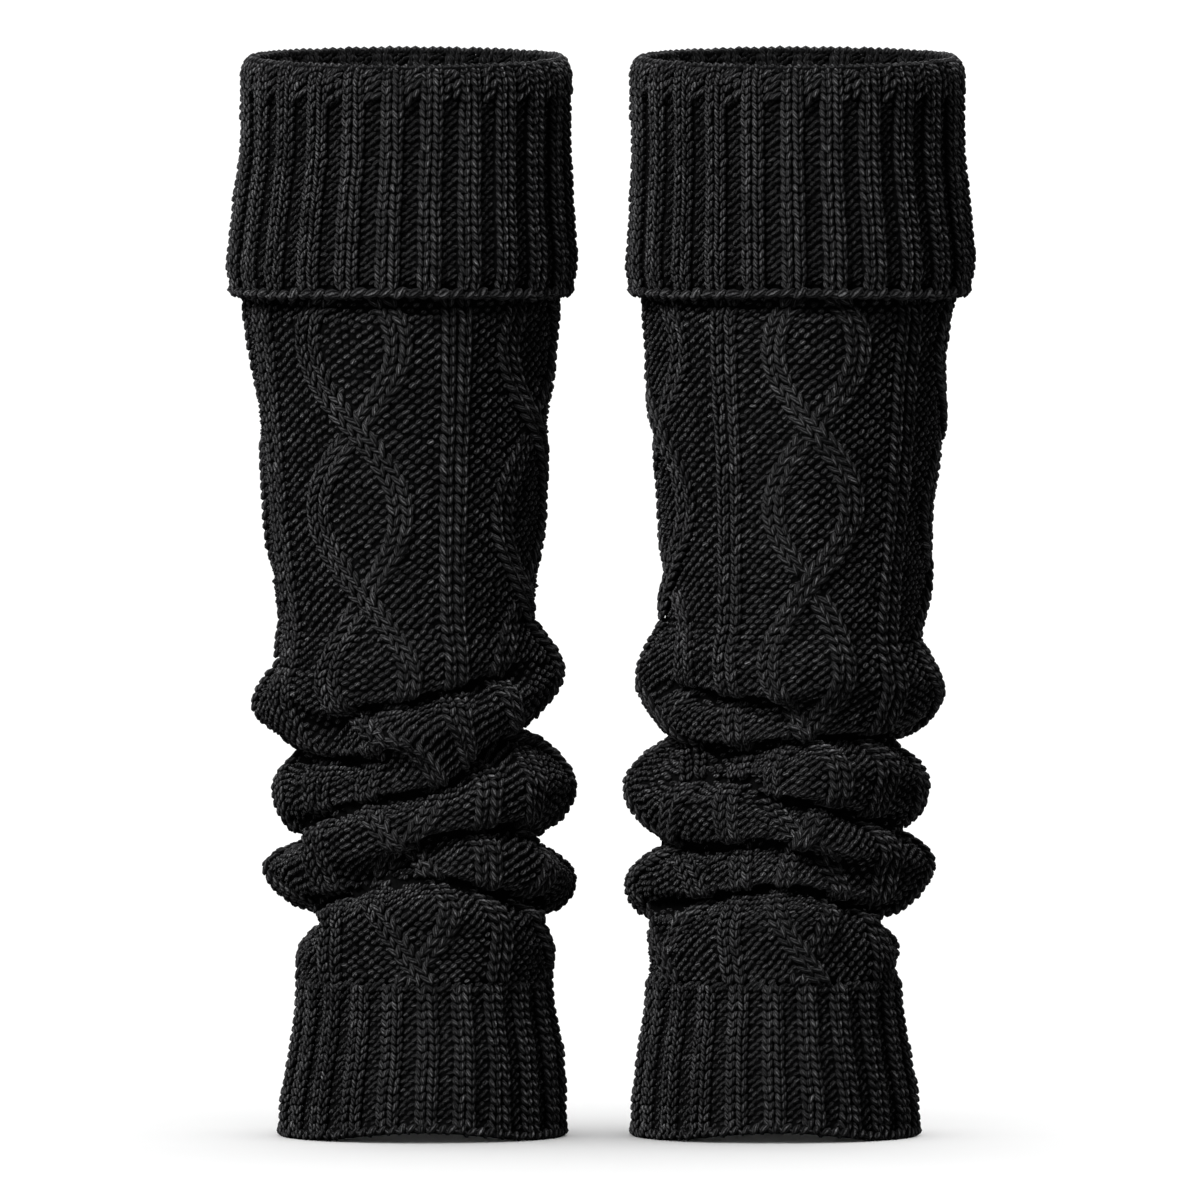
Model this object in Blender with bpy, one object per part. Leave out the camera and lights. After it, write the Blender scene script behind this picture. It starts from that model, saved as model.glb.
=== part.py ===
"""A pair of cable-knit leg warmers, standing side by side and slouched above the ankle.

Each leg warmer is three knitted tubes, one above the other: a ribbed cuff folded over to
the outside, a cabled body that slumps into folds, and a ribbed hem that flares out to the
surface. Every tube is a wall of cloth, open at both ends. The origin is on the surface,
midway between the two. X runs along the pair, Z is up, and the front looks along -Y.
"""

import math
from collections import namedtuple

import bmesh
import bpy
import numpy as np

MM = 0.001
SEWING = 0.000001          # edges closer than this are one edge

# ---- Driving dimensions, in millimetres ----
SEGMENTS = 28              # flat sides round every tube
DEPTH_RATIO = 0.94         # depth of a tube, front to back, over its width
SEAM_GAP = 0.3             # space left where two pieces meet
BODY_WALL = 4.0            # the cabled cloth
CUFF_WALL = 4.2            # one layer of the folded cuff
HEM_WALL = 4.4             # the ribbed hem
CUFF_BOTTOM = 315.5        # lower edge of the turned-down layer
CUFF_SEAM = 329.0          # where the cuff is joined to the body, out of sight
CUFF_TOP = 405.5           # crown of the fold
CUFF_SHOULDER = 397.0      # where the cuff starts to round over
CUFF_SLIT = 0.7            # space between the two layers of the cuff
CUFF_CORNER = 1.2          # rounding of its lower edge
CUFF_TILT = 1.2            # how far the fold rises behind, and falls in front
CUFF_LIFT = 1.4            # how far its lower edge is drawn up in front
CROWN_ANGLES = (40.0, 90.0, 140.0)              # rings over the fold, degrees from outside
BETWEEN_LAYERS = (CUFF_SHOULDER, 372.0, 350.0)  # ring heights inside the slit
BELOW_SEAM = (334.0, 323.0)                     # and on behind the turned-down layer
HEM_SEAM = 59.5            # where the body is joined to the hem
HEM_CORNER = 1.6           # rounding of the hem's lower edge
HEM_INNER_CORNER = 0.6     # rounding of its inner lower edge
HEM_OUTSIDE = (9.0, 20.0, 32.0, 48.0)           # ring heights on its outside, going up
HEM_INSIDE = (42.0, 22.0)                       # and on its inside, coming down
ARCH_FRONT = 5.0           # how far the hem lifts off the surface in front
ARCH_BACK = 3.0            # and behind
ARCH_SPREAD = 55.0         # degrees to each side over which it lifts
CREASE_REACH = 18.0        # half the width of a fold's valley, up and down
FOLDS_TOP = 192.0          # the folds lie between these heights
FOLDS_BOTTOM = 74.0
STEP_PLAIN = 20.0          # spacing of the rings above the folds
STEP_FOLDS = 6.1           # and through them
SHARP_EDGE = 50.0          # degrees: a sharper edge is not shaded smooth

YARN = (0.045, 0.045, 0.048, 1.0)
YARN_ROUGHNESS = 0.92

# The outline of a tube at one height: how far its middle is from the leg's own line, to
# the right, and half its width.
Section = namedtuple("Section", "height shift half_width")

# One value for each direction round a leg, in order of angle from +X.
Around = namedtuple("Around", "right back_right back back_left left front_left front front_right")

# A valley between two folds: its height and its depth in each direction.
Crease = namedtuple("Crease", "height depth")

Leg = namedtuple("Leg", "name line cuff body hem creases")

LEFT_LEG = Leg(
    name="left",
    line=-74.4,
    cuff=(
        Section(height=315.5, shift=0.0, half_width=65.6),
        Section(height=325.0, shift=0.0, half_width=67.2),
        Section(height=334.0, shift=0.4, half_width=66.6),
        Section(height=351.0, shift=0.6, half_width=64.6),
        Section(height=370.0, shift=1.6, half_width=63.0),
        Section(height=397.0, shift=1.9, half_width=63.4),
    ),
    body=(
        Section(height=329.0, shift=0.3, half_width=61.6),
        Section(height=310.0, shift=0.0, half_width=60.0),
        Section(height=294.0, shift=0.6, half_width=58.0),
        Section(height=257.0, shift=0.9, half_width=55.1),
        Section(height=219.0, shift=1.0, half_width=52.5),
        Section(height=194.0, shift=2.2, half_width=47.9),
        Section(height=181.0, shift=5.0, half_width=52.0),
        Section(height=166.0, shift=3.8, half_width=57.6),
        Section(height=131.0, shift=8.2, half_width=56.6),
        Section(height=96.0, shift=7.1, half_width=57.4),
        Section(height=78.0, shift=9.6, half_width=49.5),
        Section(height=59.5, shift=8.4, half_width=48.7),
    ),
    hem=(
        Section(height=59.5, shift=8.4, half_width=48.7),
        Section(height=50.0, shift=8.6, half_width=48.9),
        Section(height=32.0, shift=9.0, half_width=52.2),
        Section(height=20.0, shift=8.3, half_width=53.8),
        Section(height=9.0, shift=7.9, half_width=54.9),
        Section(height=0.0, shift=7.9, half_width=54.6),
    ),
    creases=(
        Crease(height=Around(right=177.0, back_right=172.0, back=166.0, back_left=158.0,
                             left=155.0, front_left=159.0, front=167.0, front_right=175.5),
               depth=Around(right=0.5, back_right=3.0, back=5.0, back_left=3.0,
                            left=0.5, front_left=7.0, front=9.0, front_right=6.0)),
        Crease(height=Around(right=158.0, back_right=156.0, back=150.0, back_left=146.0,
                             left=144.4, front_left=144.0, front=143.0, front_right=150.0),
               depth=Around(right=0.0, back_right=0.0, back=3.0, back_left=9.0,
                            left=15.0, front_left=12.0, front=3.0, front_right=0.0)),
        Crease(height=Around(right=155.6, back_right=147.0, back=131.0, back_left=118.0,
                             left=112.5, front_left=126.4, front=134.6, front_right=150.8),
               depth=Around(right=14.0, back_right=11.0, back=7.0, back_left=8.0,
                            left=10.0, front_left=8.0, front=9.0, front_right=13.0)),
        Crease(height=Around(right=111.0, back_right=108.0, back=106.0, back_left=101.0,
                             left=100.0, front_left=104.6, front=115.5, front_right=119.3),
               depth=Around(right=12.0, back_right=9.0, back=5.0, back_left=1.0,
                            left=0.0, front_left=6.0, front=10.0, front_right=9.0)),
        Crease(height=Around(right=82.0, back_right=87.0, back=95.0, back_left=89.0,
                             left=82.0, front_left=95.0, front=101.0, front_right=94.5),
               depth=Around(right=9.0, back_right=9.0, back=8.0, back_left=9.0,
                            left=13.0, front_left=10.0, front=9.0, front_right=10.0)),
    ),
)

RIGHT_LEG = Leg(
    name="right",
    line=74.8,
    cuff=(
        Section(height=315.5, shift=0.2, half_width=64.8),
        Section(height=325.0, shift=0.4, half_width=66.4),
        Section(height=334.0, shift=0.4, half_width=66.0),
        Section(height=351.0, shift=0.0, half_width=64.6),
        Section(height=370.0, shift=-0.5, half_width=63.2),
        Section(height=397.0, shift=-0.6, half_width=63.6),
    ),
    body=(
        Section(height=329.0, shift=0.3, half_width=61.0),
        Section(height=310.0, shift=-0.3, half_width=59.0),
        Section(height=294.0, shift=-0.6, half_width=57.3),
        Section(height=257.0, shift=-0.8, half_width=54.8),
        Section(height=219.0, shift=-1.6, half_width=51.8),
        Section(height=194.0, shift=-1.8, half_width=48.8),
        Section(height=182.0, shift=-4.4, half_width=53.0),
        Section(height=168.0, shift=-3.8, half_width=57.4),
        Section(height=131.0, shift=-8.4, half_width=57.2),
        Section(height=96.0, shift=-7.9, half_width=57.0),
        Section(height=78.0, shift=-11.0, half_width=49.3),
        Section(height=59.5, shift=-9.8, half_width=48.6),
    ),
    hem=(
        Section(height=59.5, shift=-9.8, half_width=48.6),
        Section(height=50.0, shift=-9.6, half_width=48.8),
        Section(height=32.0, shift=-9.9, half_width=51.9),
        Section(height=20.0, shift=-9.2, half_width=53.8),
        Section(height=9.0, shift=-9.0, half_width=55.0),
        Section(height=0.0, shift=-8.9, half_width=54.7),
    ),
    creases=(
        Crease(height=Around(right=163.0, back_right=160.0, back=164.0, back_left=168.0,
                             left=169.0, front_left=168.8, front=165.4, front_right=163.9),
               depth=Around(right=0.0, back_right=2.0, back=5.0, back_left=3.0,
                            left=0.5, front_left=8.0, front=7.0, front_right=1.5)),
        Crease(height=Around(right=148.1, back_right=150.0, back=146.0, back_left=151.0,
                             left=149.3, front_left=149.3, front=151.9, front_right=153.8),
               depth=Around(right=13.0, back_right=10.0, back=9.0, back_left=10.0,
                            left=14.0, front_left=12.0, front=11.0, front_right=12.0)),
        Crease(height=Around(right=134.0, back_right=130.0, back=136.0, back_left=134.0,
                             left=134.6, front_left=136.9, front=139.1, front_right=138.0),
               depth=Around(right=0.0, back_right=0.0, back=1.0, back_left=3.0,
                            left=1.0, front_left=6.0, front=2.0, front_right=0.0)),
        Crease(height=Around(right=114.8, back_right=119.0, back=127.0, back_left=130.0,
                             left=128.0, front_left=131.0, front=130.5, front_right=125.3),
               depth=Around(right=10.0, back_right=8.0, back=7.0, back_left=2.0,
                            left=0.0, front_left=1.0, front=9.0, front_right=11.0)),
        Crease(height=Around(right=100.1, back_right=102.0, back=107.0, back_left=110.0,
                             left=109.9, front_left=111.8, front=114.0, front_right=103.1),
               depth=Around(right=0.5, back_right=2.0, back=6.0, back_left=9.0,
                            left=11.0, front_left=11.0, front=10.0, front_right=6.0)),
        Crease(height=Around(right=82.0, back_right=87.0, back=93.0, back_left=87.0,
                             left=82.0, front_left=92.6, front=97.5, front_right=90.8),
               depth=Around(right=12.0, back_right=9.0, back=8.0, back_left=9.0,
                            left=9.0, front_left=10.0, front=9.0, front_right=10.0)),
    ),
)


def clear_scene():
    """Take every object out of the open scene."""
    for thing in list(bpy.data.objects):
        bpy.data.objects.remove(thing, do_unlink=True)


def yarn_material(name):
    """Dark, dull wool."""
    material = bpy.data.materials.new(name)
    material.use_nodes = True
    shader = material.node_tree.nodes["Principled BSDF"]
    shader.inputs["Base Color"].default_value = YARN
    shader.inputs["Roughness"].default_value = YARN_ROUGHNESS
    shader.inputs["Metallic"].default_value = 0.0
    return material


def angles():
    """The angles of the ring's corners, from +X towards the back."""
    return np.arange(SEGMENTS) * (2.0 * math.pi / SEGMENTS)


def round_the_leg(around, turn):
    """Read one value per direction at any angle, on a smooth closed curve."""
    values = np.array(around)
    place = np.asarray(turn) / (2.0 * math.pi) * len(values)
    index = np.floor(place).astype(int)
    part = place - index
    before, here, after, beyond = (values[(index + step) % len(values)] for step in (-1, 0, 1, 2))
    rise = 0.5 * (after - before)
    fall = 0.5 * (beyond - here)
    return ((2 * part**3 - 3 * part**2 + 1) * here + (part**3 - 2 * part**2 + part) * rise
            + (3 * part**2 - 2 * part**3) * after + (part**3 - part**2) * fall)


def outline(sections, height):
    """The middle and the half width of a tube at each height, between its sections."""
    rows = sorted(sections)
    heights = [row.height for row in rows]
    shift = np.interp(height, heights, [row.shift for row in rows])
    half_width = np.interp(height, heights, [row.half_width for row in rows])
    return shift, half_width


def valley_depth(leg, turn, height):
    """How far the cloth is drawn in by the creases, in every direction at one height."""
    drawn_in = np.zeros_like(turn)
    for crease in leg.creases:
        level = round_the_leg(crease.height, turn)
        depth = np.maximum(round_the_leg(crease.depth, turn), 0.0)
        nearness = np.clip(1.0 - np.abs(height - level) / CREASE_REACH, 0.0, 1.0)
        drawn_in += depth * nearness * nearness * (3.0 - 2.0 * nearness)
    return drawn_in


def ring(leg, sections, height, inset=0.0, rise=0.0, drawn_in=0.0):
    """The corners of one ring, at one height, set in from the outline."""
    turn = angles()
    shift, half_width = outline(sections, height)
    across = half_width - inset - drawn_in
    deep = half_width * DEPTH_RATIO - inset - drawn_in
    x = leg.line + shift + across * np.cos(turn)
    y = deep * np.sin(turn)
    z = height + rise + np.zeros_like(turn)
    return np.stack((x, y, z), axis=1) * MM


def drawn_up(turn, front, back):
    """How far an edge is drawn up: not at all at the sides, most in the middle."""
    lift = np.zeros_like(turn)
    for middle, height in ((1.5 * math.pi, front), (0.5 * math.pi, back)):
        away = np.abs(np.angle(np.exp(1j * (turn - middle))))
        near = np.clip(1.0 - away / math.radians(ARCH_SPREAD), 0.0, 1.0)
        lift += height * near * near * (3.0 - 2.0 * near)
    return lift


def loft(name, rings):
    """One closed solid through a loop of rings: a grid rolled up both ways and sewn."""
    form = bmesh.new()
    sheet = bmesh.ops.create_grid(form, x_segments=SEGMENTS, y_segments=len(rings), size=1.0)
    for vert in sheet["verts"]:
        corner = round(0.5 * (vert.co.x + 1.0) * SEGMENTS) % SEGMENTS
        row = round(0.5 * (vert.co.y + 1.0) * len(rings)) % len(rings)
        vert.co = rings[row][corner]
    bmesh.ops.remove_doubles(form, verts=form.verts, dist=SEWING)
    bmesh.ops.recalc_face_normals(form, faces=form.faces)
    mesh = bpy.data.meshes.new(name)
    form.to_mesh(mesh)
    form.free()
    mesh.shade_smooth()
    mesh.set_sharp_from_angle(angle=math.radians(SHARP_EDGE))
    mesh.materials.append(yarn_material(name))
    solid = bpy.data.objects.new(name, mesh)
    bpy.context.collection.objects.link(solid)
    return solid


def cuff_rise(height):
    """The cuff's tilt, from the seam to the fold, and the lift of its lower edge."""
    above = np.clip((height - CUFF_SEAM) / (CUFF_SHOULDER - CUFF_SEAM), 0.0, 1.0)
    below = np.clip((CUFF_SEAM - height) / (CUFF_SEAM - CUFF_BOTTOM), 0.0, 1.0)
    lift = drawn_up(angles(), CUFF_LIFT, CUFF_LIFT)
    return above * CUFF_TILT * np.sin(angles()) + below * lift


def make_cuff(leg):
    """The folded cuff: up the outside, over the fold, down the inside and back between."""
    full = 2.0 * CUFF_WALL + CUFF_SLIT
    inner_layer = CUFF_WALL + CUFF_SLIT
    seam = CUFF_SEAM + 0.5 * SEAM_GAP
    outside = [row.height for row in leg.cuff if row.height > CUFF_BOTTOM]
    stations = [(CUFF_BOTTOM, CUFF_CORNER, 0.0)]
    stations += [(height, 0.0, 0.0) for height in outside]
    for angle in CROWN_ANGLES:
        inset = 0.5 * full * (1.0 - math.cos(math.radians(angle)))
        crown = (CUFF_TOP - CUFF_SHOULDER) * math.sin(math.radians(angle))
        stations.append((CUFF_SHOULDER, inset, crown))
    stations += [(height, full, 0.0) for height in BETWEEN_LAYERS + (seam,)]
    stations += [(height, inner_layer, 0.0) for height in (seam,) + BETWEEN_LAYERS[::-1]]
    stations += [(height, CUFF_WALL, 0.0) for height in BETWEEN_LAYERS + BELOW_SEAM + (CUFF_BOTTOM,)]
    rings = [ring(leg, leg.cuff, height, inset=inset, rise=crown + cuff_rise(height))
             for height, inset, crown in stations]
    return loft(leg.name + "_cuff", rings)


def body_heights():
    """Ring heights from the top seam to the bottom one, closer together in the folds."""
    top = CUFF_SEAM - 0.5 * SEAM_GAP
    bottom = HEM_SEAM + 0.5 * SEAM_GAP
    plain = np.linspace(top, FOLDS_TOP, 1 + round((top - FOLDS_TOP) / STEP_PLAIN))
    folds = np.linspace(FOLDS_TOP, FOLDS_BOTTOM, 1 + round((FOLDS_TOP - FOLDS_BOTTOM) / STEP_FOLDS))
    return list(plain) + list(folds[1:]) + [bottom]


def make_body(leg):
    """The cabled body, drawn in along every crease, with the same wall all the way."""
    turn = angles()
    heights = body_heights()
    drawn_in = {height: valley_depth(leg, turn, height) for height in heights}
    rings = [ring(leg, leg.body, height, drawn_in=drawn_in[height]) for height in heights]
    rings += [ring(leg, leg.body, height, inset=BODY_WALL, drawn_in=drawn_in[height])
              for height in reversed(heights)]
    return loft(leg.name + "_body", rings)


def make_hem(leg):
    """The ribbed hem, flaring to the surface, with a rounded lower edge."""
    lift = drawn_up(angles(), ARCH_FRONT, ARCH_BACK)
    top = HEM_SEAM - 0.5 * SEAM_GAP
    stations = [(0.0, HEM_CORNER), (HEM_CORNER, 0.0)]
    stations += [(height, 0.0) for height in HEM_OUTSIDE + (top,)]
    stations += [(height, HEM_WALL) for height in (top,) + HEM_INSIDE + (HEM_INNER_CORNER,)]
    stations.append((0.0, HEM_WALL - HEM_INNER_CORNER))
    rings = [ring(leg, leg.hem, height, inset=inset, rise=lift * (1.0 - height / top))
             for height, inset in stations]
    return loft(leg.name + "_hem", rings)


def main():
    clear_scene()
    for leg in (LEFT_LEG, RIGHT_LEG):
        make_cuff(leg)
        make_body(leg)
        make_hem(leg)


main()
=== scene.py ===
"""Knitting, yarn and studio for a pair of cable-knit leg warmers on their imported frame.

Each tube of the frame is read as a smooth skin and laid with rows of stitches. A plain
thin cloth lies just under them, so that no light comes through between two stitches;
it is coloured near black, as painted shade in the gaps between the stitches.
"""

import math
from collections import namedtuple

import bmesh
import bpy
import numpy as np
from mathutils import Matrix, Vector
from mathutils.bvhtree import BVHTree


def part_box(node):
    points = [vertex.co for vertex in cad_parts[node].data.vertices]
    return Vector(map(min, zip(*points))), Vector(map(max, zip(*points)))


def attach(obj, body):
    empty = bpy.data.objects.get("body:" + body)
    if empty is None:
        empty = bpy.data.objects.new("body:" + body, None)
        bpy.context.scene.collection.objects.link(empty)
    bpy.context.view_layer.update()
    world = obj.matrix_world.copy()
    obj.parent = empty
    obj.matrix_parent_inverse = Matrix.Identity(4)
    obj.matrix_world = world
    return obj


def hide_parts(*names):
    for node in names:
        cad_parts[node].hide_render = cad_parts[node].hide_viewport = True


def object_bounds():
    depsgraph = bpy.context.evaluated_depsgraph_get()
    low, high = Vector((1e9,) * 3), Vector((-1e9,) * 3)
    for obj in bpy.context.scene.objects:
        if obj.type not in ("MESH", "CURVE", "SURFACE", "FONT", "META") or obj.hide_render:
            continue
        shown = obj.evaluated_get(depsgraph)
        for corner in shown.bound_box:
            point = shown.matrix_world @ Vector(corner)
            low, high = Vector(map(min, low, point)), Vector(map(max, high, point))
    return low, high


bl_info = {
    "name": "Cable-Knit Leg Warmers",
    "version": (1, 0, 0),
    "blender": (4, 5, 0),
    "location": "View3D > Sidebar > Leg Warmers",
    "description": "Knits a pair of slouched, cabled leg warmers onto their frame",
    "category": "Add Mesh",
}

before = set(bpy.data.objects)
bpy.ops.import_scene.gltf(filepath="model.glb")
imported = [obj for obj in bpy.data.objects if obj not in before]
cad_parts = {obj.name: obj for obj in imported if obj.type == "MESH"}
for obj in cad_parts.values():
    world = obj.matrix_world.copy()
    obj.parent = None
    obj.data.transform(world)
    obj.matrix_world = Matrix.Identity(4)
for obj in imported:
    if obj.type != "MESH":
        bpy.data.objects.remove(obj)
CAD_LOW, CAD_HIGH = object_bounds()

MM = 0.001
TURNS = 256  # directions in which a tube's skin is read
FINE = 5  # readings of the skin to each row of stitches
WAVES = 9.0  # unevenness finer than this many waves round is smoothed out
READING_STEP = 2.0 * MM  # spacing of the readings up a tube
PATH_STEP = 0.5 * MM  # and of the places along the cloth made from them
SEED = 11

# ---- The knitting: turns are degrees from the front of a leg towards its right side ----

WALES = 64  # stitches round the body
PLAIN_ROWS = 36  # rows from the top of the folds to the cuff's seam
FOLD_ROWS = 50  # rows through the folds
FOLDS_TOP = 194.0 * MM
CABLE_SWING = 3.55  # how far a cable's strand swings from the middle, in stitches
STRAND_WALE = 1.12  # width of a stitch in a cable, in ground stitches
RIB_WALE = 1.26  # and in the body's upright ribs
LEAF_TILT = 21.0  # lean of each half of a plain stitch, degrees
GRAIN_TILT = 69.0  # lean of a purl bump from upright, degrees

Column = namedtuple("Column", "kind wale turn")
Crossing = namedtuple("Crossing", "row over")  # over: +1 the strand that rises to the right
Knot = namedtuple("Knot", "turn height depth")  # degrees, millimetres
Leg = namedtuple("Leg", "name columns twist crossings cuff_turn hem_turn creases sides")

# How far the folds reach to each side: a height and a place there for each hollow and
# each full of a fold, from the lowest up, in millimetres

Reach = namedtuple("Reach", "height place")

LEFT_SIDES = (
    (Reach(58, -116), Reach(80.5, -108), Reach(100, -125), Reach(110.5, -112.5),
     Reach(129, -122.5), Reach(144.5, -113), Reach(161, -130), Reach(177, -121.5),
     Reach(193, -120), Reach(216, -125)),
    (Reach(58, -17), Reach(80, -19.5), Reach(96, -9.5), Reach(110.5, -22.5),
     Reach(130, -9.5), Reach(154, -28), Reach(173, -14), Reach(194, -25),
     Reach(216, -22)),
)

RIGHT_SIDES = (
    (Reach(58, 17), Reach(79, 18.5), Reach(94, 10), Reach(109.5, 23),
     Reach(130, 9.5), Reach(151, 27), Reach(171, 14), Reach(193, 23.2),
     Reach(216, 22.3)),
    (Reach(58, 114.5), Reach(80, 108), Reach(101, 124.5), Reach(114, 113.5),
     Reach(131, 124), Reach(148, 111.5), Reach(168, 129), Reach(187, 120.5),
     Reach(216, 124)),
)

def columns_at(*turns):
    """Cables and ribs by turns, as many stitches apart all round."""
    step = WALES // len(turns)
    return tuple(Column("rib" if place % 2 else "cable", step * place, turn)
                 for place, turn in enumerate(turns))


LEFT = Leg(
    name="left",
    columns=columns_at(-20.0, 22.5, 66.0, 111.0, 156.0, 201.0, 246.0, 294.0),
    twist=15.0,
    crossings=tuple(Crossing(-15.5 + 17.0 * step, -1) for step in range(7)),
    cuff_turn=-5.0,
    hem_turn=1.4,
    creases=(
        (Knot(-64, 156, 0.0), Knot(-47, 158, 3.0), Knot(-6, 166, 5.0),
         Knot(8, 168, 5.0), Knot(52, 176, 4.0), Knot(72, 177, 0.0)),
        (Knot(118, 172, 0.0), Knot(150, 170, 3.0), Knot(182, 166, 4.5),
         Knot(215, 160, 3.0), Knot(240, 158, 0.0)),
        (Knot(-178, 150, 0.0), Knot(-135, 146, 4.5), Knot(-90, 144, 6.0),
         Knot(-51, 144, 6.0), Knot(-26, 145, 4.0), Knot(-6, 147, 0.0)),
        (Knot(-180, 131, 4.0), Knot(-135, 118, 4.5), Knot(-90, 112, 5.5), Knot(-65, 120, 4.5),
         Knot(-40, 127, 4.5), Knot(11, 135, 5.0), Knot(24, 142, 5.5),
         Knot(47, 151, 6.0), Knot(90, 156, 6.5), Knot(135, 147, 5.0)),
        (Knot(-66, 101, 0.0), Knot(-29, 105, 4.5), Knot(7, 116, 5.5), Knot(50, 120, 5.5),
         Knot(90, 111, 6.0), Knot(135, 108, 4.5), Knot(180, 106, 3.0), Knot(222, 101, 0.0)),
        (Knot(-180, 95, 4.5), Knot(-135, 89, 5.0), Knot(-90, 82, 6.0), Knot(-50, 94, 5.5),
         Knot(-18, 98, 5.0), Knot(4, 101, 5.0), Knot(30, 97, 5.0), Knot(61, 91, 5.5),
         Knot(90, 83, 5.0), Knot(135, 87, 5.0)),
    ),
    sides=LEFT_SIDES,
)

RIGHT = Leg(
    name="right",
    columns=columns_at(6.0, 49.0, 93.0, 139.0, 185.0, 232.0, 286.0, 329.0),
    twist=12.0,
    crossings=(
        Crossing(-15.0, 1), Crossing(2.0, -1), Crossing(19.5, 1), Crossing(37.0, -1),
        Crossing(54.0, 1), Crossing(69.5, -1), Crossing(85.5, 1),
    ),
    cuff_turn=-2.5,
    hem_turn=-0.4,
    creases=(
        (Knot(-78, 170, 0.0), Knot(-51, 169, 5.0), Knot(-25, 168, 5.5),
         Knot(-1, 165, 4.5), Knot(27, 164, 0.0)),
        (Knot(128, 162, 0.0), Knot(160, 164, 3.5), Knot(190, 165, 4.5),
         Knot(225, 168, 3.0), Knot(250, 169, 0.0)),
        (Knot(-180, 146, 5.0), Knot(-135, 151, 5.0), Knot(-90, 149, 6.0), Knot(-50, 149, 5.5),
         Knot(-32, 150, 5.5), Knot(0, 152, 5.5), Knot(45, 154, 6.0),
         Knot(90, 148, 6.0), Knot(135, 150, 5.0)),
        (Knot(-72, 135, 0.0), Knot(-48, 137, 4.5), Knot(-28, 138, 4.5),
         Knot(-10, 139, 3.0), Knot(9, 139, 0.0)),
        (Knot(-30, 131, 0.0), Knot(-5, 131, 5.0), Knot(36, 126, 5.5), Knot(57, 121, 6.0),
         Knot(90, 115, 6.0), Knot(135, 119, 4.5), Knot(180, 127, 4.5), Knot(226, 130, 0.0)),
        (Knot(-212, 104, 0.0), Knot(-180, 107, 4.0), Knot(-135, 110, 5.0), Knot(-90, 110, 6.0),
         Knot(-57, 111, 5.5), Knot(-4, 114, 5.0), Knot(22, 109, 5.0), Knot(44, 104, 4.0),
         Knot(70, 100, 0.0)),
        (Knot(-180, 93, 4.5), Knot(-135, 87, 5.0), Knot(-90, 82, 5.0), Knot(-60, 90, 5.5),
         Knot(-16, 96, 5.0), Knot(8, 97, 5.0), Knot(48, 90, 5.5),
         Knot(90, 82, 6.0), Knot(135, 87, 5.0)),
    ),
    sides=RIGHT_SIDES,
)

LEGS = (LEFT, RIGHT)

# ---- Sizes of the cloth and its stitches ----

PINCH = 1.5 * MM  # how much deeper a crease is drawn in, for each mm of its depth
PINCH_REACH = 4.6 * MM
DROOP = 1.25 * MM  # how far the fold above sags over it, for each mm of its depth
DROOP_ABOVE = 6.5 * MM
DROOP_REACH = 5.5 * MM
SIDE_SPREAD = 52.0  # degrees over which the folds' reach to the sides is felt
SIDE_PROUD = 0.9 * MM  # stitches lie a little inside the skin
SIDE_RISE = 0.45 * MM  # the sagging stitches hang this far below the skin's own notches
SIDE_DROOP = 0.1  # share of the sag left at the sides
UNEVEN = 0.5 * MM  # hand-made unevenness of the skin
TUCKED_IN = 3.2 * MM  # how far the body draws in under the cuff's edge
TUCK_REACH = 7.0 * MM
GLINT_SPREAD = 0.28  # how much the painted highlights (glints) differ from stitch to stitch

CUFF_INSIDE_ROWS = 6  # stitches laid down the inside of the cuff
CUFF_INSIDE_FOOT = 326.5 * MM  # where its inner layer ends, inside the body's top
CROWN_ROOM = 9.5 * MM  # height over which the cuff rounds over
CROWN_STEPS = 40
RIM_BEADS = 108
ARCH_SHARE = 0.8  # how much of the frame's arch at the front the edge keeps

# Half the length, the width and the thickness of each kind of stitch

Size = namedtuple("Size", "length width thick")
Ribbing = namedtuple("Ribbing", "count row leaf bump")  # ribs round, height of a row

CABLE_LEAF = Size(2.5 * MM, 1.22 * MM, 1.45 * MM)
RIB_LEAF = Size(2.45 * MM, 1.32 * MM, 1.5 * MM)
BODY_BUMP = Size(1.55 * MM, 1.12 * MM, 1.25 * MM)
SEAM_BUMP = Size(1.8 * MM, 1.0 * MM, 1.2 * MM)
RIM_LEAF = Size(2.3 * MM, 1.1 * MM, 1.2 * MM)
RIM_BEAD = Size(1.8 * MM, 2.1 * MM, 1.8 * MM)
CUFF_LINK = Size(3.0 * MM, 2.0 * MM, 1.8 * MM)
HEM_LINK = Size(2.3 * MM, 1.4 * MM, 1.5 * MM)
CUFF_RIBBING = Ribbing(24, 3.1 * MM, Size(2.1 * MM, 1.1 * MM, 1.3 * MM),
                       Size(1.45 * MM, 0.98 * MM, 1.05 * MM))
HEM_RIBBING = Ribbing(21, 3.25 * MM, Size(2.2 * MM, 1.15 * MM, 1.35 * MM),
                      Size(1.5 * MM, 1.0 * MM, 1.05 * MM))

RIB_SPREAD = 0.15  # space between the leaves of a rib, in ribs
# place across the rib, way it leans, how far it falls away at the rib's sides
RIB_LEAVES = ((-1.5, -1, 0.85 * MM), (-0.58, 1, 0.0), (0.58, -1, 0.0), (1.5, 1, 0.85 * MM))
# place across the valley, part of a row it comes later, lean in degrees
VALLEY_BUMPS = ((-0.125, 0.0, 66.0), (0.0, 0.5, 60.0), (0.125, 0.0, 72.0))

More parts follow.
